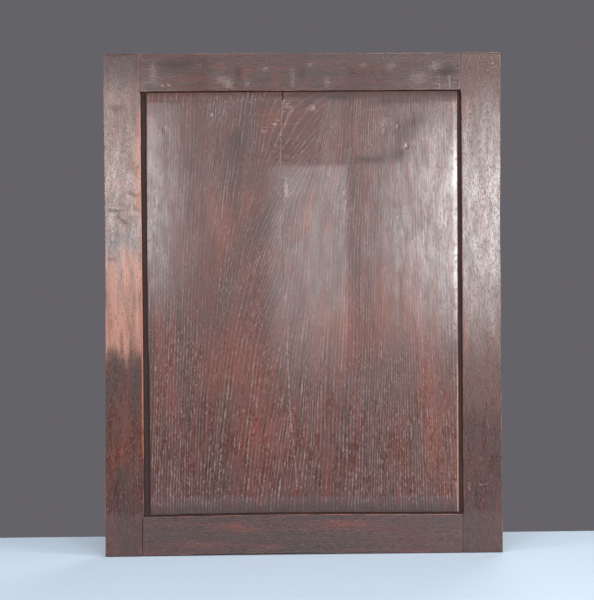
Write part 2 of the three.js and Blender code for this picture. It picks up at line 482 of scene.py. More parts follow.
def stile(side, material):
    name = "left" if side < 0 else "right"
    outer_curve, inner_curve = (left_outer, left_inner) if side < 0 else (right_outer, right_inner)
    shoulder_top, shoulder_low = SHOULDERS["top"][name], SHOULDERS["bottom"][name]
    rail_top = float(bottom_rail_top(np.float64(shoulder_low)))
    rail_foot = float(top_rail_foot(shoulder_top))
    heights, depths = stile_rows(rail_top, rail_foot)
    inner = inner_curve(heights)
    inner = mix(inner, shoulder_low, np.clip((rail_top + STEP - heights) / STEP, 0, 1))
    inner = mix(inner, shoulder_top, np.clip((heights - rail_foot + STEP) / STEP, 0, 1))
    seed = 31 if side < 0 else 41

    def relief(x, z):
        return frame_face(x, z, seed, True)

    rings, facts = bar(
        heights, outer_curve(heights), inner, depths, relief, saw_marks, worn_arris, False
    )
    reach = 1 - smooth((rings[..., 2] - 70) / 330)
    rings[..., 2] += bottom_edge(rings[..., 0]) * reach
    round_ends(rings, heights, 0, HEIGHT)
    layers = frame_layers(rings, facts, seed, run_axis=2)
    return bar_piece(f"{name}_stile", rings, layers, material)


def round_ends(rings, places, low, high):
    """Rounds the arrises of a bar's two ends."""
    for i, place in enumerate(places):
        gap = min(place - low, high - place)
        if gap < END_ROUND:
            draw_in(rings, i, float(rounding(gap, END_ROUND)))


# ---- rails ----


def rail(end, material):
    left = SHOULDERS[end]["left"] + JOINT_GAP["left"]
    right = SHOULDERS[end]["right"] - JOINT_GAP["right"]
    places = [left + step for step in [0] + END_STEPS]
    places += list(between(left + END_ROUND, right - END_ROUND, 2.0)[1:-1])
    places += [right - step for step in END_STEPS[::-1] + [0]]
    places = np.array(places)
    if end == "top":
        outer, inner = np.full(places.shape, HEIGHT - SKIN), top_rail_foot(places)
        outer = outer - nicks(places, 9)
    else:
        outer, inner = bottom_edge(places) + SKIN + nicks(places, 11), bottom_rail_top(places)
    seed = 51 if end == "top" else 61

    def relief(x, z):
        return frame_face(x, z, seed, False)

    grooves = np.full(places.shape, float(GROOVE["depth"]))
    rings, facts = bar(places, outer, inner, grooves, relief, saw_marks, worn_arris, True)
    round_ends(rings, places, left, right)
    rings, facts = add_tenons(rings, facts, end)
    layers = frame_layers(rings, facts, seed, run_axis=0)
    return bar_piece(f"{end}_rail", rings, layers, material)


def add_tenons(rings, facts, end):
    """Adds a tenon's rings beyond both ends of a rail."""
    foot, head = TENON_FOOT[end], TENON_FOOT[end] + TENON["height"]
    from_edge, to_edge = (head, foot) if end == "top" else (foot, head)
    extra = {}
    for which, ring, way in (("start", rings[0], -1), ("stop", rings[-1], 1)):
        slim = ring.copy()
        slim[:, 2] = mix(from_edge, to_edge, facts["across"][0])
        depth_share = (ring[:, 1] - FACE) / THICKNESS
        slim[:, 1] = GROOVE_MIDDLE + (depth_share - 0.5) * TENON["thickness"]
        tip = slim.copy()
        tip[:, 0] += way * TENON["length"]
        extra[which] = [slim, tip]
    parts = [extra["start"][1], extra["start"][0], *rings, extra["stop"][0], extra["stop"][1]]
    rings = np.array(parts)
    facts = {k: np.concatenate([v[:1], v[:1], v, v[-1:], v[-1:]]) for k, v in facts.items()}
    facts["face"][:2] = False
    facts["face"][-2:] = False
    return rings, facts


# ---- values kept at the frame's points, for its material ----

# the left stile's orange-brown band: painted highlight of the left lights over thin finish
LEFT_TAN_HIGHLIGHT = {"low": 262, "high": 535, "soft": 80}
FINGER_MARKS = [  # dark red dabs on the left stile
    [(-277, 577), (-268, 572.5), (-260, 574)],
    [(-268, 553), (-262, 548)],
    [(-296, 540), (-288, 532), (-283, 529)],
    [(-309, 549), (-294, 548)],
]
STILE_ARCS = [  # dark ring marks on the left stile
    [(-317, 447), (-307, 447), (-303, 442), (-302, 436)],
    [(-312, 424), (-307, 422), (-306, 416), (-311, 412)],
    [(-317, 374), (-298, 373), (-294.5, 366)],
    [(-303, 372), (-298, 376), (-289, 374), (-287, 366)],
]
WAX_ON_LEFT = [
    (-279, 570, 6, 4), (-283, 562, 8, 3), (-272, 545, 14, 6), (-300, 552, 12, 3),
    (-274, 600, 9, 22), (-262, 520, 8, 20),
]
DARK_ON_LEFT = [(-297, 713, 13, 5), (-292, 130, 8, 14), (-305, 470, 8, 3), (-268, 616, 7, 8)]
# pale bands across the top rail: painted reflection of the lights, laid on as wax
SHEEN_ON_TOP = [
    (-238, 768, 9, 24), (-131, 757, 12, 10), (-116, 750, 9, 12), (-87, 750, 6, 9),
    (-60, 775, 9, 8), (-15, 761, 6, 19), (13, 779, 8, 5), (40, 752, 7, 12),
    (98, 779, 9, 6), (142, 778, 12, 8), (185, 760, 24, 16), (214, 778, 14, 10),
]
DARK_ON_TOP = [(-102, 766, 6, 12), (229, 770, 13, 8), (-200, 780, 24, 6), (0, 765, 5, 14)]
RED_ON_TOP = [(-92, 768, 14, 14), (-42, 760, 10, 14), (-128, 778, 12, 6), (2, 752, 10, 8)]
RED_ON_BOTTOM = [
    (-165, 12, 40, 9), (-92, 36, 22, 6), (-111, 44, 16, 5), (60, 46, 40, 6), (-60, 8, 22, 5),
]
RED_ON_STILES = [
    (-282, 180, 22, 60), (-298, 150, 12, 26), (-262, 640, 5, 34), (-262, 700, 6, 16),
    (-300, 672, 10, 12), (-290, 590, 20, 8), (262, 345, 6, 40), (262, 712, 6, 18),
    (292, 560, 6, 40), (-312, 300, 6, 20),
]
SPLINTERS = [
    [(-228, 748.5), (-196, 752), (-164, 756.4)],
    [(-222, 746.5), (-200, 747.5), (-180, 749.5)],
    [(-196, 772.5), (-176, 770), (-160, 769.2)],
    [(-214, 752), (-190, 757), (-168, 759.5)],
]
PALE_SCUFFS = [
    [(262, 113), (264, 105), (267, 99)], [(281, 108), (295, 110)], [(304, 376), (304.5, 352)],
    [(294, 208), (296, 199)],
]
DRIPS = [[(218.5, 762), (218.9, 742)], [(235.2, 762), (235.8, 743)]]


def arris_wear(facts, seed):
    """Strongest on a face arris, fading inwards from it, broken along its length."""
    run = facts["run"]
    broken = 0.65 + 0.35 * noise(run / 23, np.where(facts["across"] > 0.5, 9, 2), seed)
    return np.where(facts["face"], np.exp(-facts["edge"] / WEAR_REACH), 0.25) * broken


def groove_wall(facts):
    """1 on the wall in front of the groove, where shade is painted, fading near the face."""
    inner = (facts["across"] > 0.999) & ~facts["face"] & (facts["share"] == 0)
    return np.where(inner, smooth((facts["depth"] - FACE - 1.2) / 1.5), 0.0)


def frame_layers(rings, facts, seed, run_axis):
    x, y, z = rings[..., 0], rings[..., 1], rings[..., 2]
    run = rings[..., run_axis]
    side = z if run_axis == 0 else x
    drift = 5 * noise(run / 170, side / 80, seed + 2) + 1.5 * noise(run / 45, side / 25, seed + 3)
    rings_at = (side + drift - 0.55 * y) / FRAME_RING
    grain = np.stack([rings_at, y, run], axis=-1)
    face = facts["face"].astype(float)
    layers = {
        "grain": grain,
        "split": np.zeros(x.shape),
        "wear": arris_wear(facts, seed) + frame_worn(x, z) * face,
        "red": frame_red(x, z) * face,
        "stains_and_shade": frame_dark(x, z) * face,
        # wax, and on the top rail painted reflection
        "wax_and_sheen": frame_wax_and_sheen(x, z) * face,
        # bare wood, and on the stiles a painted highlight
        "raw_and_highlight": frame_bare_and_highlight(x, z) * face,
        # painted shade inside the groove and on the wall in front of it
        "recess_shade": np.where(facts["share"] > 0, 1.0, 0.0) + groove_wall(facts),
        "back": smooth((y + 3.0) / 2.0),
    }
    return {name: flat(values) for name, values in layers.items()}


def strokes(x, z, lines, reach):
    return sum(stroke(x, z, line, reach) for line in lines)


def frame_red(x, z):
    return 0.8 * spots(x, z, RED_ON_TOP + RED_ON_BOTTOM) + 0.9 * spots(x, z, RED_ON_STILES)


def frame_dark(x, z):
    return (
        0.9 * strokes(x, z, FINGER_MARKS, 2.6)
        + 0.8 * strokes(x, z, STILE_ARCS, 0.7)
        + 0.7 * spots(x, z, DARK_ON_LEFT)
        + 0.9 * spots(x, z, DARK_ON_TOP)
    )


def frame_wax_and_sheen(x, z):
    return (
        0.8 * spots(x, z, WAX_ON_LEFT)
        # the top rail's pale bands are painted reflection
        + 0.6 * spots(x, z, SHEEN_ON_TOP)
        + 0.8 * strokes(x, z, PALE_SCUFFS, 1.2)
        + strokes(x, z, DRIPS, 1.0)
    )


def frame_bare_and_highlight(x, z):
    """Orange-brown on the stiles: bare wood where the finish is rubbed away or thin, and a painted
    highlight of the side lights.
    """
    left = (x < -250).astype(float)
    ragged = noise(x / 6, z / 40, 91)
    low = smooth((z - LEFT_TAN_HIGHLIGHT["low"] + 14 * ragged) / LEFT_TAN_HIGHLIGHT["soft"])
    high = smooth((LEFT_TAN_HIGHLIGHT["high"] - z + 10 * ragged) / LEFT_TAN_HIGHLIGHT["soft"])
    lit_tan = 0.85 * low * high * (0.75 + 0.25 * noise(x / 5, z / 34, 92))
    thin = 0.38 * smooth((z - 480) / 40) * smooth((790 - z) / 60)
    inner = 0.22 * bell(x, -258, 13) * smooth((z - 520) / 40) * smooth((700 - z) / 50)
    # the right stile's upper part: painted highlight of the right lights
    right = 0.31 * (x > 250) * smooth((z - 150) / 100)
    return left * (np.maximum(lit_tan, thin) + inner) + right


def frame_worn(x, z):
    """Rubbed strips away from the arrises: the left stile's inner edge and some splinters."""
    height = smooth((z - 120) / 60) * smooth((722 - z) / 30)
    strip = 0.8 * bell(x, left_inner(z), 3.2) * height * (0.7 + 0.3 * noise(z / 13, 0, 93))
    return strip + 0.55 * strokes(x, z, SPLINTERS, 0.55)


# ---- the board ----

COLUMN_STEP = 1.5
ROW_STEP = 2.9
BACK_EVERY = 4
MARGIN = {"reach": 6.4, "drop": 0.28}  # the worn slope down to the board's right arris
SPINE = -33.0  # the line where the grain that leans in from the left stops
SPINE_TOP = 520  # above this height the left part's grain leans over beyond the spine


def sway(x, z):
    return 0.03 * noise(x / 26, z / 75, 71)


def left_lean(x, z):
    """Sideways run of the grain, for each millimetre of height, in the board's left part."""
    ridge_at = mix(-50, 5, smooth((z - 500) / 200))
    height = 0.10 + 0.24 * smooth((z - 270) / 150) + 0.50 * smooth((z - 470) / 210)
    reach = np.where(x < ridge_at, 46, 95)
    ridge = height * np.exp(-(((x - ridge_at) / reach) ** 2))
    side = 0.10 * bell(x, -115, 50) * (0.6 + 0.4 * smooth(z / 500)) + 0.03
    return ridge + side + sway(x, z)


def right_lean(x, z):
    """The same for the part right of the spine, which bends over only near its top."""
    beside_spine = 0.10 * bell(x, -20, 26)
    bend = 0.45 * smooth((z - 520) / 100) * np.exp(-((np.maximum(x + 10, 0) / 42) ** 2))
    top = 0.35 * smooth((z - 650) / 50) * bell(x, 15, 24)
    swelling = 0.12 * bell(x, 62, 28) * bell(z, 590, 50)
    outer = -0.07 * smooth((x - 110) / 70)
    return 0.04 + beside_spine + bend + top + swelling + outer + sway(x, z)


def grain_foot(x, z, lean):
    """Follows the grain down from each point and returns where it meets the board's foot."""
    u = np.array(x, float)
    step = 4.0
    for level in np.arange(z.max(), 0, -step):
        part = np.clip((z - level) / step + 1, 0, 1)
        u -= lean(u, np.minimum(z, level)) * step * part
    return u


def ring_spacing(u):
    return (
        4.4
        + 1.2 * bell(u, -110, 45)
        + 0.9 * bell(u, -30, 40)
        + 2.6 * bell(u, 25, 38)
        + 0.5 * bell(u, 150, 90)
    )


def ring_count(u):
    """Growth rings passed from the middle of the board's foot out to u."""
    place = np.linspace(-400, 400, 1601)
    uneven = 1 + 0.20 * noise(place / 11, 0, 77) + 0.12 * noise(place / 31, 0, 78)
    count = np.cumsum(1 / (ring_spacing(place) * uneven)) * (place[1] - place[0])
    return np.interp(u, place, count)


def board_rings(x, z):
    """Ring count at each point, and how far the rings there stand apart in millimetres."""
    left, right = grain_foot(x, z, left_lean), grain_foot(x, z, right_lean)
    border = grain_foot(np.array([SPINE]), np.array([float(SPINE_TOP)]), right_lean)[0]
    on_right = np.where(z < SPINE_TOP, x > SPINE, right > border)
    u = np.where(on_right, right, left)
    apart = 1e-6 + np.where(on_right, slope_across(right, x), slope_across(left, x))
    return ring_count(u) + PART_SHIFT * on_right, ring_spacing(u) / apart


def slope_across(values, x):
    return np.abs(np.gradient(values, axis=1) / np.gradient(x, axis=1).clip(0.05))


def board_columns():
    """Shares of the way across the field, close together near its edges and the check."""
    width = FIELD["right"] - FIELD["left_low"]
    near = np.array(ARRIS_STEPS)
    middle = between(near[-1], width - near[-1], COLUMN_STEP)
    check = CHECK["x"] - FIELD["left_low"]
    middle = middle[np.abs(middle - check) > 6.5]
    fine = between(check - 6, check + 6, 0.6)
    places = np.sort(np.concatenate([near[:-1], middle, fine, width - near[:-1]]))
    return pad_to(places, BACK_EVERY) / width


def board_rows():
    height = TOP_RAIL["left"] - FIELD["gap_above"] - BOTTOM_RAIL_HEIGHT - FIELD["gap_below"]
    near = np.array(ARRIS_STEPS)
    middle = between(near[-1], height - near[-1], ROW_STEP)
    places = np.sort(np.concatenate([near[:-1], middle, height - near[:-1]]))
    return pad_to(places, BACK_EVERY) / height


def pad_to(places, every):
    """Halves the widest steps until the grid with its borders can be thinned evenly."""
    borders = 2 * len(TONGUE_SHARES)
    while (len(places) + borders - 1) % every:
        widest = int(np.argmax(np.diff(places)))
        places = np.insert(places, widest + 1, (places[widest] + places[widest + 1]) / 2)
    return places


TONGUE_SHARES = [0, 0.35, 0.7, 1]  # from the tongue's edge to the foot of the field's wall


def board_positions():
    """X, Z, and distances to the field's four edges over the whole front grid."""
    columns, rows = board_columns(), board_rows()
    height_guess = mix(BOTTOM_RAIL_HEIGHT, TOP_RAIL["left"], rows)
    border = len(TONGUE_SHARES)
    tongue = np.array(TONGUE_SHARES)[None, :]
    level = np.pad(height_guess, border, mode="edge")[:, None]
    left, right = field_left(level), np.full(level.shape, FIELD["right"])
    tongue_left = left_inner(level) - TONGUE["reach"]
    tongue_right = right_inner(level) + TONGUE["reach"]
    x = np.concatenate(
        [
            mix(tongue_left, left, tongue),
            mix(left, right, columns[None, :]),
            mix(right, tongue_right, 1 - tongue[:, ::-1]),
        ],
        axis=1,
    )
    low, high = bottom_rail_top(x) + FIELD["gap_below"], top_rail_foot(x) - FIELD["gap_above"]
    tongue_low = bottom_rail_top(x) - TONGUE["reach"]
    tongue_high = top_rail_foot(x) + TONGUE["reach"]
    z = np.empty(x.shape)
    upward = np.array(TONGUE_SHARES)[:, None]
    z[:border] = mix(tongue_low[:border], low[:border], upward)
    z[border:-border] = mix(low[border:-border], high[border:-border], rows[:, None])
    z[-border:] = mix(high[-border:], tongue_high[-border:], 1 - upward[::-1])
    edges = {"left": x - left, "right": right - x, "low": z - low, "high": high - z}
    return x, z, edges, border


def check_depth(x, z):
    """The drying check that opens at the board's upper end."""
    opening = np.clip((z - CHECK["foot"]) / (CHECK["top"] - CHECK["foot"]), 0, 1)
    centre = CHECK["x"] + 0.4 * np.sin(z / 3.1)
    half_width = 0.25 + (CHECK["half_width"] - 0.25) * opening
    slot = np.clip(1.35 - np.abs(x - centre) / half_width, 0, 1)
    return CHECK["depth"] * slot * smooth(opening * 2.5)


def board_relief(x, z, edges):
    """How far the board's face lies behind its highest plane."""
    relief = planing(x, z, 81, 0.008)
    relief = relief + dent_field(x, z, BOARD_DENTS)
    relief = relief + 0.5 * sum(stroke(x, z, gouge, 1.1) for gouge in GOUGES)
    relief = relief + 0.25 * stroke(x, z, LOW_CHECK, 0.8) + 0.1 * stroke(x, z, CRACK, 0.5)
    relief = relief + check_depth(x, z)
    relief = relief + FALL["top"] * np.clip(1 - edges["high"] / FALL["top_reach"], 0, 1) ** 1.4
    relief = relief + FALL["bottom"] * np.clip(1 - edges["low"] / FALL["bottom_reach"], 0, 1) ** 1.4
    relief = relief + MARGIN["drop"] * np.clip(1 - edges["right"] / MARGIN["reach"], 0, 1) ** 1.1
    nearest = np.minimum.reduce(list(edges.values()))
    return relief + rounding(nearest, 0.8 + 0.25 * noise(x / 20, z / 20, 83))


def board_layers(x, y, z, edges, on_field):
    count, apart = board_rings(x, z)
    grain = np.stack([count - y / BOARD_RING_DEPTH, y, z], axis=-1)
    nearest = np.minimum.reduce([np.abs(e) for e in edges.values()])
    crack = stroke(x, z, CRACK, 0.7) * 0.7 + stroke(x, z, PALE_VEIN, 1.0)
    broken = 0.55 + 0.45 * noise(z / 30, x / 30, 85)
    return {
        "grain": grain,
        "split": np.clip(np.log2(apart / SPLIT_SPACING), 0, MOST_SPLIT),
        "wear": np.where(on_field, np.exp(-nearest / WEAR_REACH), 0) * broken,
        # dark stains, with painted shade along the field's top edge and foot
        "red": board_red(x, z) * on_field,
        "stains_and_shade": board_dark_and_shade(x, z, edges) * on_field,
        "wax_and_sheen": (board_wax(x, z) + crack) * on_field,
        "raw_and_highlight": board_raw(x, z) * on_field,
        # painted shade: full on the tongue in the channel and on the back, faint at the field's
        # edges
        "recess_shade": np.where(on_field, channel_shade(edges), 1.0),
        "back": np.zeros(x.shape),
    }


def channel_shade(edges):
    """Painted shade on the last of the field beside the channel, except at its bright right arris.
    """
    nearest = np.minimum.reduce([edges["left"], edges["low"], edges["high"]])
    return 0.5 * np.exp(-np.maximum(nearest, 0) / 0.8)


def board_red(x, z):
    return 0.6 * spots(x, z, RED_ON_BOARD) + 0.8 * strokes(x, z, RED_BANDS, 3.2)


def board_dark_and_shade(x, z, edges):
    blotch = 0.75 * spots(x, z, DARK_ON_BOARD) * (0.75 + 0.25 * noise(x / 9, z / 9, 87))
    # painted shade along the field's top edge, under the top rail
    top_edge_shade = 0.6 * bell(edges["high"], 0, 11) * smooth((x + 40) / 60)
    # painted shade along the field's foot
    foot = 0.8 * bell(edges["low"], 0, 16)
    return blotch + top_edge_shade + foot


def board_wax(x, z):
    crumbs = 0.45 + 0.55 * noise(x / 2.3, z / 2.9, 88)
    clusters = spots(x, z, WAX_ON_BOARD) * np.maximum(crumbs, 0) * 1.6
    lines = 0.8 * strokes(x, z, PALE_LINES, 0.8) * (0.7 + 0.3 * noise(x / 4, z / 6, 89))
    filled = 0.6 * spots(x, z, [(d[0], d[1], 2.2, 2.2) for d in BOARD_DENTS])
    return clusters + lines + filled


def board_raw(x, z):
    """Wood rubbed bare along the lower half of the right arris."""
    return 0.8 * bell(x, FIELD["right"] - 1.0, 1.6) * smooth((340 - z) / 60)


def board(material):
    x, z, edges, border = board_positions()
    on_field = np.zeros(x.shape, bool)
    on_field[border:-border, border:-border] = True
    y = np.where(on_field, BOARD_FACE + board_relief(x, z, edges), TONGUE_FRONT)
    y = np.minimum(y, TONGUE_FRONT)
    front = np.stack([x, y, z], axis=-1)
    thin = np.s_[::BACK_EVERY, ::BACK_EVERY]
    back_x, back_z = x[thin], z[thin]
    back_y = np.full(back_x.shape, TONGUE_BACK)
    back = np.stack([back_x, back_y, back_z], axis=-1)
    points = np.concatenate([flat(front), flat(back)])
    front_index = np.arange(x.size).reshape(x.shape)
    back_index = np.arange(back_x.size).reshape(back_x.shape) + x.size
    faces = grid_faces(front_index) + grid_faces(back_index[:, ::-1])
    faces += rim_faces(front_index, back_index)
    front_layers = board_layers(x, y, z, edges, on_field)
    back_edges = {k: v[thin] for k, v in edges.items()}
    back_layers = board_layers(back_x, back_y, back_z, back_edges, np.zeros(back_x.shape, bool))
    back_layers["back"] = np.ones(back_x.shape)
    layers = {k: np.concatenate([flat(v), flat(back_layers[k])]) for k, v in front_layers.items()}
    return make_piece("board_wood", points, faces, layers, material, "board")


def rim_faces(front, back):
    """Joins the front grid's rim to the coarser back grid's rim."""

    def rim(index):
        return [index[0], index[:, -1], index[-1][::-1], index[:, 0][::-1]]

    faces = []
    for fine, coarse in zip(rim(front), rim(back)):
        for i in range(len(coarse) - 1):
            strip = fine[i * BACK_EVERY : (i + 1) * BACK_EVERY + 1]
            faces.append([*strip.tolist(), int(coarse[i + 1]), int(coarse[i])])
    return faces


# ---- materials ----


class Nodes:
    """Short calls that add and join shader nodes."""

    def __init__(self, tree):
        self.tree = tree

    def new(self, kind):
        return self.tree.nodes.new(f"ShaderNode{kind}")

    def put(self, socket, value):
        if isinstance(value, bpy.types.NodeSocket):
            self.tree.links.new(value, socket)
        elif isinstance(value, tuple) and len(socket.default_value) == 4:
            socket.default_value = (*value, 1.0)
        else:
            socket.default_value = value

    def layer(self, name, output="Fac"):
        node = self.new("Attribute")
        node.attribute_name = name
        return node.outputs[output]

    def parts(self, vector):
        node = self.new("SeparateXYZ")
        self.put(node.inputs[0], vector)
        return node.outputs

    def joined(self, *values):
        node = self.new("CombineXYZ")
        for socket, value in zip(node.inputs, values):
            self.put(socket, value)
        return node.outputs[0]

    def math(self, operation, a, b=0.0, clamp=False):
        node = self.new("Math")
        node.operation, node.use_clamp = operation, clamp
        self.put(node.inputs[0], a)
        self.put(node.inputs[1], b)
        return node.outputs[0]

    def add(self, *values):
        total = values[0]
        for value in values[1:]:
            total = self.math("ADD", total, value)
        return total

    def times(self, *values):
        total = values[0]
        for value in values[1:]:
            total = self.math("MULTIPLY", total, value)
        return total

    def capped(self, value):
        return self.math("ADD", value, 0.0, True)

    def without(self, value, amount=1.0):
        """1 where value is 0, falling to 1 - amount where it is 1."""
        return self.math("SUBTRACT", 1.0, self.times(value, amount), True)

    def swing(self, value, amount):
        """A value round 0.5 turned into one round 0."""
        return self.times(self.add(value, -0.5), amount)

    def span(self, value, low, high, to_low=0.0, to_high=1.0):
        """Maps low..high to to_low..to_high with a soft start and stop."""
        node = self.new("MapRange")
        node.interpolation_type = "SMOOTHSTEP"
        self.put(node.inputs["Value"], value)
        settings = {"From Min": low, "From Max": high, "To Min": to_low, "To Max": to_high}
        for key, setting in settings.items():
            node.inputs[key].default_value = setting
        return node.outputs["Result"]

    def mixed(self, share, a, b):
        return self.add(self.times(a, self.math("SUBTRACT", 1.0, share)), self.times(b, share))

    def noise(self, vector, scale, detail=2.0, rough=0.5, shift=(0, 0, 0)):
        """Noise whose scale along each axis of vector is given, with values round 0.5."""
        place = self.new("Mapping")
        self.put(place.inputs["Vector"], vector)
        place.inputs["Scale"].default_value = scale
        place.inputs["Location"].default_value = shift
        node = self.new("TexNoise")
        self.put(node.inputs["Vector"], place.outputs["Vector"])
        node.inputs["Scale"].default_value = 1.0
        node.inputs["Detail"].default_value = detail
        node.inputs["Roughness"].default_value = rough
        return node.outputs["Fac"]

    def blend(self, share, a, b):
        node = self.new("Mix")
        node.data_type = "RGBA"
        self.put(node.inputs["Factor"], share)
        self.put(node.inputs["A"], a)
        self.put(node.inputs["B"], b)
        return node.outputs["Result"]

    def bump(self, height, distance):
        node = self.new("Bump")
        node.inputs["Strength"].default_value = 1.0
        node.inputs["Distance"].default_value = distance
        self.put(node.inputs["Height"], height)
        return node.outputs["Normal"]


def new_material(name):
    material = bpy.data.materials.new(name)
    material.use_nodes = True
    return material, Nodes(material.node_tree), material.node_tree.nodes["Principled BSDF"]


class Flow:
    """The grain layer at two steps of fineness.

    Its X counts rings, and its Y and Z are the depth and the run in millimetres. Where the
    rings spread apart, the split layer grows by 1 for each doubling of their distance, and
    the pattern doubles with it, so that its lines stay about equally close.
    """

    def __init__(self, n):
        self.n = n
        self.plain = n.layer("grain", "Vector")
        count, depth, run = n.parts(self.plain)
        split = n.layer("split")
        step = n.math("FLOOR", split)
        self.share = n.span(n.math("SUBTRACT", split, step), 0.0, 1.0)
        coarse = n.math("POWER", 2.0, step)
        self.steps = [coarse, n.times(coarse, 2.0)]
        self.count = count
        self.vectors = [n.joined(n.times(count, s), depth, run) for s in self.steps]

    def noise(self, *settings, **more):
        coarse, fine = (self.n.noise(v, *settings, **more) for v in self.vectors)
        return self.n.mixed(self.share, coarse, fine)

    def wave(self):
        """Runs from -1 to 1 and back once for each ring."""
        n = self.n
        sway = n.noise(self.plain, (0.55, 0.02, 0.009))
        place = n.times(n.add(self.count, n.times(sway, 0.9)), 2 * math.pi)
        coarse, fine = (n.math("SINE", n.times(place, s)) for s in self.steps)
        return n.mixed(self.share, coarse, fine)


def wood_patterns(n):
    """The patterns that oak's colour, gloss and bump share, each from 0 to 1."""
    flow = Flow(n)
    wave = flow.wave()
    return {
        "ring": n.span(wave, 0.15, 0.95),
        "gap": n.span(wave, 0.2, -0.9),
        "uneven": n.span(flow.noise((0.9, 0.1, 0.022), 2.0, 0.6, shift=(7, 0, 0)), 0.32, 0.68),
        "fibre": flow.noise((2.1, 0.6, 0.07), 3.0, 0.7, shift=(3, 1, 2)),
        "pores": n.span(flow.noise((1.7, 0.9, 0.15), 1.5, 0.6, shift=(11, 5, 3)), 0.52, 0.66),
        "flecks": n.span(flow.noise((1.9, 0.8, 0.17), 1.0, 0.5, shift=(2, 9, 7)), 0.58, 0.72),
        "streaks": n.span(n.noise(flow.plain, (0.45, 0.05, 0.006), 3.0, 0.6, (17, 0, 4)), 0.3, 0.7),
        "clouds": n.span(n.noise(flow.plain, (0.16, 0.03, 0.014), 4.0, 0.6, (1, 3, 9)), 0.34, 0.66),
        "sheen": n.span(n.noise(flow.plain, (0.35, 0.05, 0.022), 3.0, 0.6, (4, 8, 1)), 0.3, 0.7),
        "grit": n.noise(flow.plain, (1.8, 0.5, 0.42), 1.0, 0.5, (8, 2, 6)),
    }


def oak(name, look):
    """Dark stained oak. look holds the colours and amounts that differ between pieces."""
    material, n, shader = new_material(name)
    wood = wood_patterns(n)
    marks = {key: n.layer(key) for key in MARK_LAYERS}
    crumbs = n.add(n.swing(wood["fibre"], 0.9), n.swing(wood["grit"], 1.6))
    marks["worn"] = n.times(n.span(n.add(marks["wear"], n.times(crumbs, 0.4)), 0.25, 0.85), 0.9)
    marks["bare"] = n.span(n.add(marks["raw_and_highlight"], n.times(crumbs, 0.35)), 0.2, 0.9)
    # wax film, and on the top rail a painted reflection
    marks["film"] = n.span(n.add(marks["wax_and_sheen"], crumbs), 0.25, 1.0)
    n.put(shader.inputs["Base Color"], oak_colour(n, look, wood, marks))
    oak_gloss(n, shader, look, wood, marks)
    oak_bump(n, shader, look, wood)
    return material


def oak_colour(n, look, wood, marks):
    def over(colour, share, name):
        return n.blend(n.capped(share), colour, look[name])

    colour = n.blend(wood["streaks"], look["brown"], look["red_brown"])
    colour = over(colour, n.times(wood["clouds"], look["cloud"]), "grey_brown")
    redness = n.add(0.15, n.times(wood["streaks"], 0.5), n.times(wood["gap"], 0.5))
    colour = over(colour, n.times(marks["red"], redness), "red")
    colour = over(colour, n.times(wood["gap"], wood["uneven"], look["late"]), "shade")
    colour = over(colour, n.times(wood["flecks"], look["fleck"]), "shade")
    colour = over(colour, n.times(n.span(wood["grit"], 0.5, 0.3), look["grit"]), "shade")
    line = n.times(wood["ring"], wood["uneven"], look["line"])
    dash = n.times(wood["pores"], n.add(0.3, wood["ring"]), look["dash"])
    colour = over(colour, n.add(line, dash), "pale")
    # dark stains, and on the board painted shade along its top edge and foot
    colour = over(colour, n.times(marks["stains_and_shade"], n.add(0.4, wood["fibre"])), "shade")
    # bare wood, and on the stiles a painted highlight
    colour = over(colour, marks["bare"], "bare")
    colour = over(colour, n.times(marks["bare"], wood["flecks"], 0.6), "brown")
    colour = over(colour, marks["worn"], "worn")
    # wax film, and on the top rail a painted reflection
    colour = over(colour, n.times(marks["film"], 0.55), "pale")
    # painted shade in the groove and the channel
    colour = over(colour, n.times(marks["recess_shade"], 0.9), "recess_shade")
    return over(colour, n.times(marks["back"], 0.85), "unfinished")


def oak_gloss(n, shader, look, wood, marks):
    rough = n.add(
        look["roughness"],
        n.swing(wood["fibre"], 0.5),
        n.swing(wood["sheen"], -0.14),
        n.times(wood["pores"], 0.2),
        n.times(marks["film"], 0.08),
        n.times(marks["stains_and_shade"], 0.22),
        n.times(marks["bare"], 0.06),
        n.times(marks["recess_shade"], 0.45),
        n.times(marks["back"], 0.3),
    )
    n.put(shader.inputs["Roughness"], n.capped(rough))
    coat = n.times(
        look["coat"],
        n.add(0.6, n.times(wood["sheen"], 0.4)),
        n.without(wood["pores"], 0.4),
        n.without(wood["flecks"], 0.4),
        n.without(marks["stains_and_shade"], 0.8),
        n.without(marks["worn"], 0.5),
        n.without(marks["bare"], 0.7),
        n.without(marks["back"]),
        n.without(marks["recess_shade"]),
    )
    n.put(shader.inputs["Coat Weight"], n.capped(coat))
    shader.inputs["Coat Roughness"].default_value = look["coat_roughness"]
    shader.inputs["Coat IOR"].default_value = 1.5


def oak_bump(n, shader, look, wood):
    height = n.add(
        n.times(wood["ring"], 0.3),
        n.times(wood["fibre"], 0.7),
        n.times(wood["pores"], -0.5),
        n.times(wood["grit"], 0.3),
    )
    n.put(shader.inputs["Normal"], n.bump(height, look["bump"] * MM))
    broken = n.add(n.times(wood["pores"], -1.0), n.times(wood["flecks"], -1.0))
    n.put(shader.inputs["Coat Normal"], n.bump(broken, look["coat_bump"] * MM))


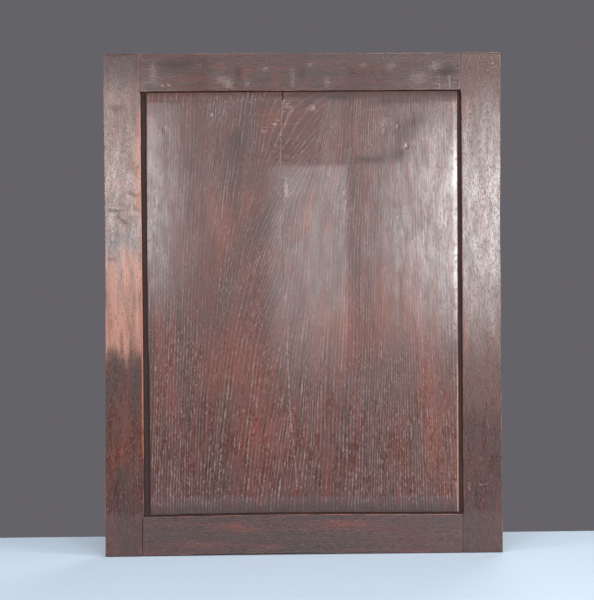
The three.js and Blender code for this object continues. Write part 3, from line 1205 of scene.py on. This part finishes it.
MARK_LAYERS = ["red", "stains_and_shade", "wax_and_sheen", "wear", "raw_and_highlight", "recess_shade", "back"]
BOARD_LOOK = {
    "brown": (0.062, 0.021, 0.016),
    "red_brown": (0.124, 0.030, 0.020),
    "grey_brown": (0.066, 0.030, 0.026),
    "red": (0.20, 0.040, 0.022),
    "shade": (0.024, 0.012, 0.010),
    "pale": (0.32, 0.24, 0.22),
    "worn": (0.42, 0.125, 0.07),
    # colour of bare wood, also used for the stiles' painted highlight
    "bare": (0.40, 0.19, 0.135),
    # colour of the painted shade in the groove and the channel
    "recess_shade": (0.055, 0.030, 0.026),
    "unfinished": (0.11, 0.065, 0.042),
    "cloud": 0.6,
    "late": 0.6,
    "fleck": 0.3,
    "grit": 0.4,
    "line": 0.26,
    "dash": 0.32,
    "roughness": 0.30,
    "coat": 1.0,
    "coat_roughness": 0.03,
    "bump": 0.12,
    "coat_bump": 0.0015,
}
FRAME_LOOK = {
    **BOARD_LOOK,
    "brown": (0.040, 0.016, 0.012),
    "red_brown": (0.088, 0.021, 0.014),
    "grey_brown": (0.046, 0.024, 0.021),
    "red": (0.16, 0.034, 0.018),
    "cloud": 0.5,
    "fleck": 0.6,
    "line": 0.04,
    "dash": 0.12,
    "bump": 0.14,
    "coat": 0.7,
    "coat_bump": 0.002,
}

# ---- the studio ----

CAMERA_DISTANCE = 2.6
CAMERA_LENS = 97.6
CAMERA_ROLL = math.radians(0.22)
CAMERA_OFFSET = (-0.0096, 0.0075)  # from the middle of the face to the camera's axis, in X and Z


def face_middle():
    low, high = CAD_BOX
    return [(low[0] + high[0]) / 2, low[1], (low[2] + high[2]) / 2]


def camera_axis():
    """Where the camera's axis meets the face."""
    middle = face_middle()
    return [middle[0] + CAMERA_OFFSET[0], middle[1], middle[2] + CAMERA_OFFSET[1]]


def camera():
    axis = camera_axis()
    data = bpy.data.cameras.new("camera")
    data.sensor_width = 36
    data.lens = CAMERA_LENS
    data.clip_end = 50
    eye = bpy.data.objects.new("camera", data)
    eye.location = (axis[0], axis[1] - CAMERA_DISTANCE, axis[2])
    eye.rotation_euler = (math.pi / 2, CAMERA_ROLL, 0)
    bpy.context.scene.collection.objects.link(eye)
    bpy.context.scene.camera = eye


def floor():
    """A pale table top just under both feet, ending a little way behind the panel."""
    left, right = CAD_BOX[0][2], FOOT_LEVEL * MM
    slope = (right - left) / (2 * HALF_WIDTH * MM)
    behind, ahead, half = 0.2, 0.55, 2.4
    gap, thickness = 0.0004, 0.04
    level = (left + right) / 2 - gap
    corners = [(-half, -ahead), (half, -ahead), (half, behind), (-half, behind)]
    top = [(x, y, level + slope * x) for x, y in corners]
    under = [(x, y, z - thickness) for x, y, z in top]
    faces = [(0, 1, 2, 3), (7, 6, 5, 4)]
    faces += [(i, i + 4, (i + 1) % 4 + 4, (i + 1) % 4) for i in range(4)]
    mesh = bpy.data.meshes.new("floor")
    mesh.from_pydata(top + under, [], faces)
    slab = bpy.data.objects.new("floor", mesh)
    bpy.context.scene.collection.objects.link(slab)
    material, _, shader = new_material("floor")
    shader.inputs["Base Color"].default_value = (0.64, 0.77, 0.90, 1)
    shader.inputs["Roughness"].default_value = 0.75
    mesh.materials.append(material)


def world():
    background = bpy.data.worlds.new("studio")
    background.use_nodes = True
    shade = background.node_tree.nodes["Background"]
    shade.inputs["Color"].default_value = (0.13, 0.125, 0.14, 1)
    shade.inputs["Strength"].default_value = 1.0
    bpy.context.scene.world = background


# The softboxes stand behind the camera and are placed by where they are seen mirrored in the
# panel's face: each one's mirror image spans low to high, in metres from the camera's axis.

BOX_DISTANCE = 2.9


def softbox(name, low, high, radiance, fade):
    """A rectangular light behind the camera, which the camera doesn't see.

    fade is the share of its size over which it brightens from its left, right, lower and
    upper edge (0 is a crisp edge).
    """
    axis = camera_axis()
    spread = (CAMERA_DISTANCE + BOX_DISTANCE) / CAMERA_DISTANCE
    width, height = ((high[i] - low[i]) * spread for i in (0, 1))
    lamp = area_light(name, width, height, radiance)
    lamp.location = (
        axis[0] + (low[0] + high[0]) / 2 * spread,
        axis[1] - BOX_DISTANCE,
        axis[2] + (low[1] + high[1]) / 2 * spread,
    )
    lamp.rotation_euler = (math.pi / 2, 0, 0)
    shade_softbox(lamp.data, fade)


def shade_softbox(data, fade):
    """Dims a light towards its edges, as cloth over a lamp does."""
    data.use_nodes = True
    n = Nodes(data.node_tree)
    across, up, _ = n.parts(n.new("NewGeometry").outputs["Parametric"])
    left, right, lower, upper = fade
    ramps = []
    for value, first, last in ((across, left, right), (up, lower, upper)):
        if first:
            ramps.append(n.span(value, 0.0, first))
        if last:
            ramps.append(n.span(value, 1.0 - last, 1.0, 1.0, 0.0))
    n.put(n.tree.nodes["Emission"].inputs["Strength"], n.times(*ramps))


def area_light(name, width, height, radiance):
    data = bpy.data.lights.new(name, "AREA")
    data.shape = "RECTANGLE"
    data.size, data.size_y = width, height
    data.energy = radiance * math.pi * width * height
    lamp = bpy.data.objects.new(name, data)
    lamp.visible_camera = False
    bpy.context.scene.collection.objects.link(lamp)
    return lamp


def fill_light(name, place, size, radiance):
    """A broad soft light aimed at the middle of the panel."""
    lamp = area_light(name, size, size, radiance)
    lamp.location = place
    aim = Vector(face_middle()) - Vector(place)
    lamp.rotation_euler = aim.to_track_quat("-Z", "Y").to_euler()


def lights():
    softbox("left_glow", (-0.54, -0.06), (-0.14, 0.44), 13.0, (0.35, 0.5, 0.35, 0.5))
    softbox("left_panel", (-0.52, 0.03), (-0.1553, 0.203), 6.5, (0.3, 0.0, 0.4, 0.0))
    softbox("right_glow", (0.08, -0.12), (0.72, 0.38), 19.5, (0.5, 0.35, 0.45, 0.4))
    softbox("front_panel", (-0.06, -0.20), (0.23, 0.2146), 3.3, (0.15, 0.55, 0.6, 0.0))
    softbox("upper_glow", (-0.60, 0.20), (0.70, 0.62), 1.0, (0.2, 0.2, 0.5, 0.3))
    fill_light("left_fill", (-3.0, -2.0, 0.4), 1.5, 8.8)
    fill_light("right_fill", (3.0, -2.0, 0.4), 1.5, 14.0)
    fill_light("top_fill", (0.0, -1.5, 2.6), 1.5, 5.8)
    fill_light("back_fill", (1.0, 3.0, 1.5), 1.5, 5.0)


def main():
    board_oak = oak("board_oak", BOARD_LOOK)
    frame_oak = oak("frame_oak", FRAME_LOOK)
    for side in (-1, 1):
        stile(side, frame_oak)
    for end in ("top", "bottom"):
        rail(end, frame_oak)
    board(board_oak)
    floor()
    world()
    lights()
    camera()
    bpy.context.scene.view_settings.view_transform = "Standard"


main()
